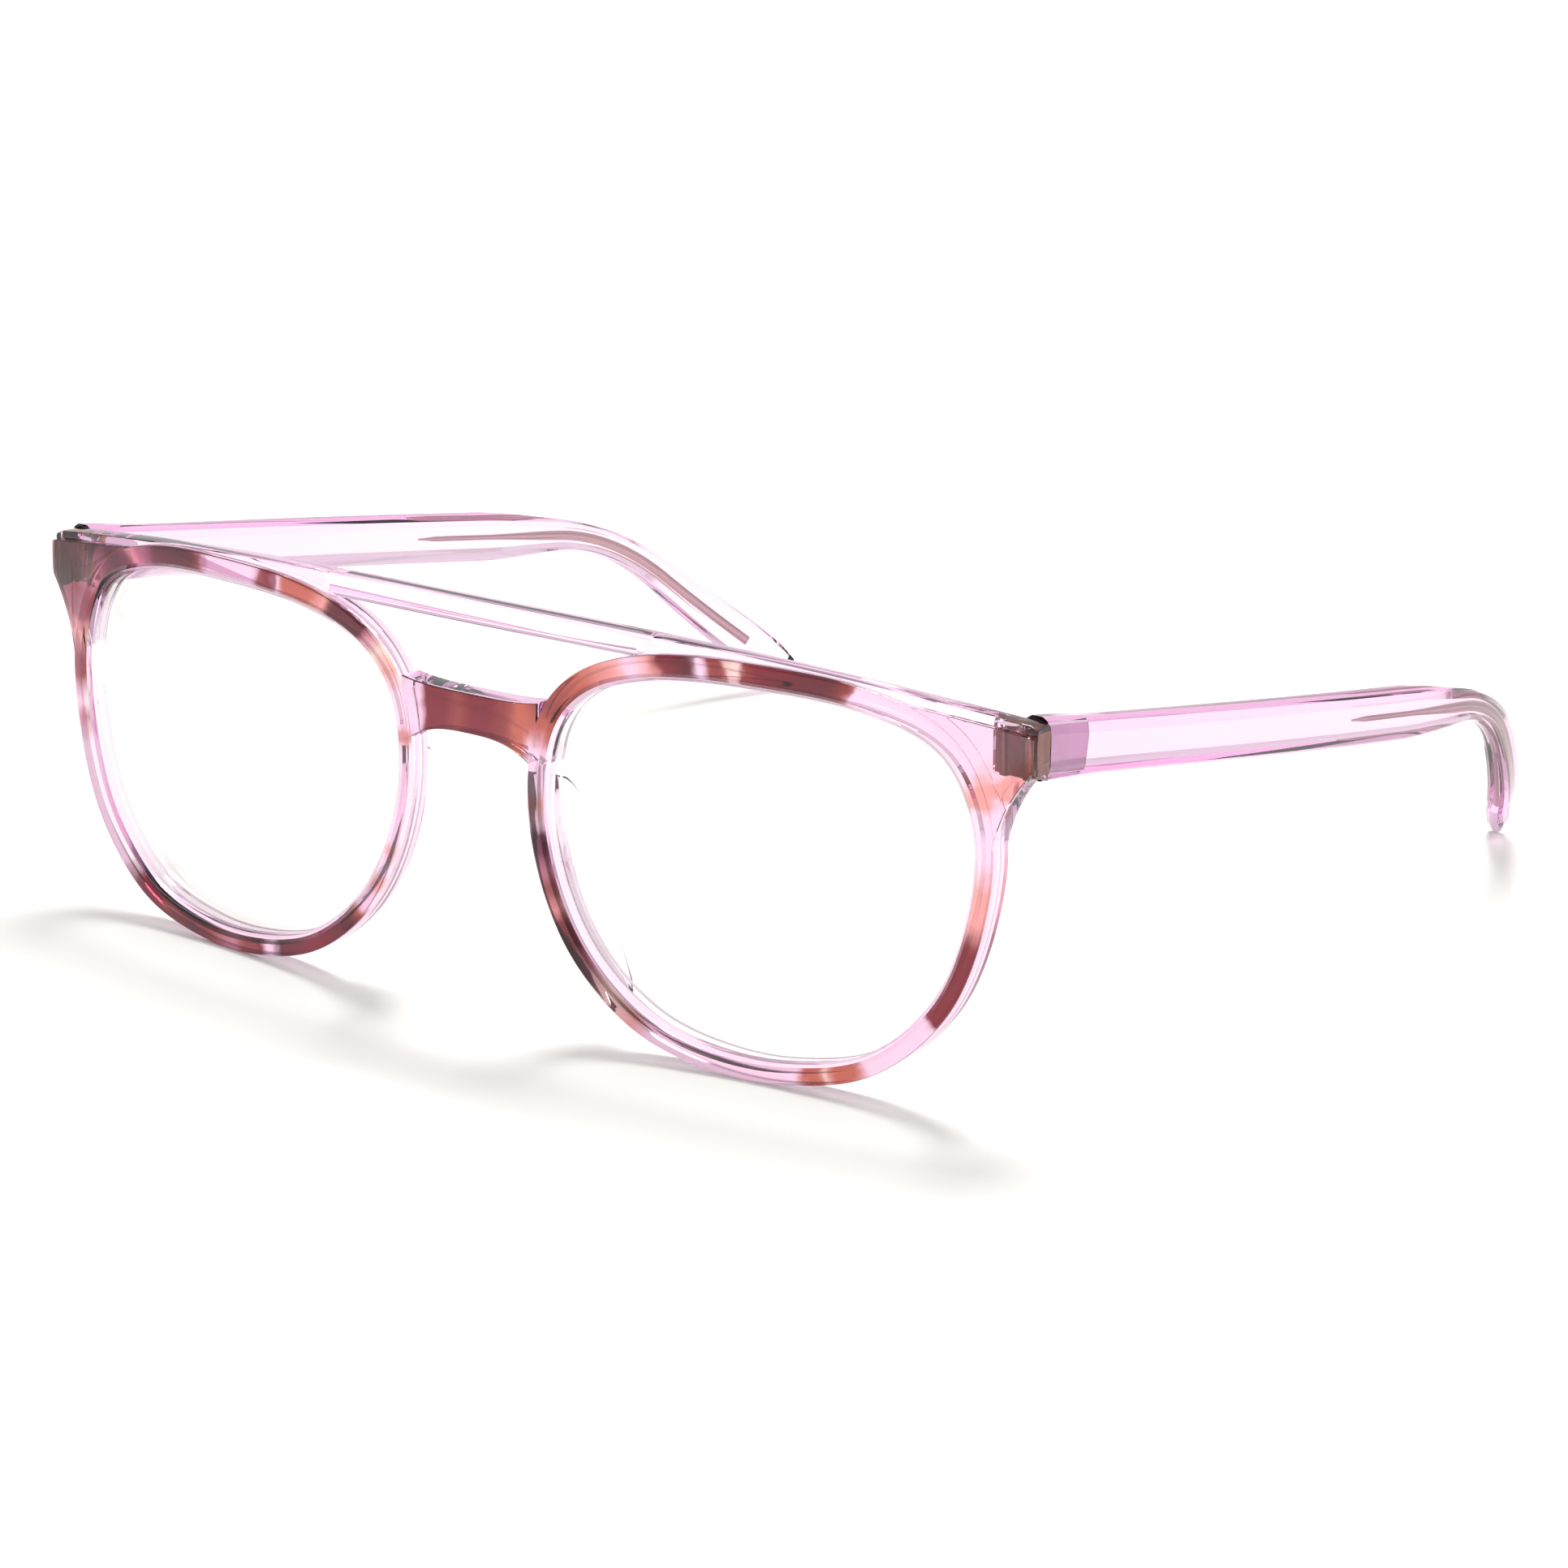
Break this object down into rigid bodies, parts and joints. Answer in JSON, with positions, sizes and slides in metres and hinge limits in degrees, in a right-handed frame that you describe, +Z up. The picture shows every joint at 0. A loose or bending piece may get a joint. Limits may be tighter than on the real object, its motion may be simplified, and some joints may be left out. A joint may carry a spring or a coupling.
{
  "type": "blue light glasses",
  "caption": "Full-rim double-bridge glasses with plano lenses, bonded nose pads and folding temples with a metal core on barrel hinges.",
  "frame": {"origin": "On the table the glasses stand on, midway between the temples, and midway between the front's face and the temple tips.", "axes": "+Z up, -Y the way the front faces, +X to the wearer's left. The object is symmetrical about X = 0."},
  "size_m": [0.1454, 0.1441, 0.0496],
  "materials": {
    "crystal_plastic": "polished clear pink",
    "patterned_plastic": "polished tortoise pattern in brown, peach and pink",
    "temple_plastic": "polished clear pink",
    "pad_plastic": "polished clear",
    "lens": "clear with an anti-reflection coat",
    "hinge_metal": "plated nickel silver",
    "screw_metal": "bright steel",
    "core_metal": "satin nickel silver"
  },
  "bodies": {
    "front": {"front_frame": "crystal_plastic", "front_layer": "patterned_plastic", "lens_left": "lens", "lens_right": "lens", "nose_pad_left": "pad_plastic", "nose_pad_right": "pad_plastic", "front_hinge_left": "hinge_metal", "front_hinge_right": "hinge_metal", "hinge_screw_left": "screw_metal", "hinge_screw_right": "screw_metal"},
    "temple_left": {"temple_left": "temple_plastic", "temple_hinge_left": "hinge_metal", "core_wire_left": "core_metal"},
    "temple_right": {"temple_right": "temple_plastic", "temple_hinge_right": "hinge_metal", "core_wire_right": "core_metal"}
  },
  "joints": [
    {"name": "fold_left", "type": "hinge", "parent": "front", "child": "temple_left", "pos_m": [0.0668, -0.06008, 0.0421], "axis": [0, 0, 1], "range_deg": [0, 86]},
    {"name": "fold_right", "type": "hinge", "parent": "front", "child": "temple_right", "pos_m": [-0.0668, -0.06008, 0.0421], "axis": [0, 0, -1], "range_deg": [0, 78]}
  ]
}
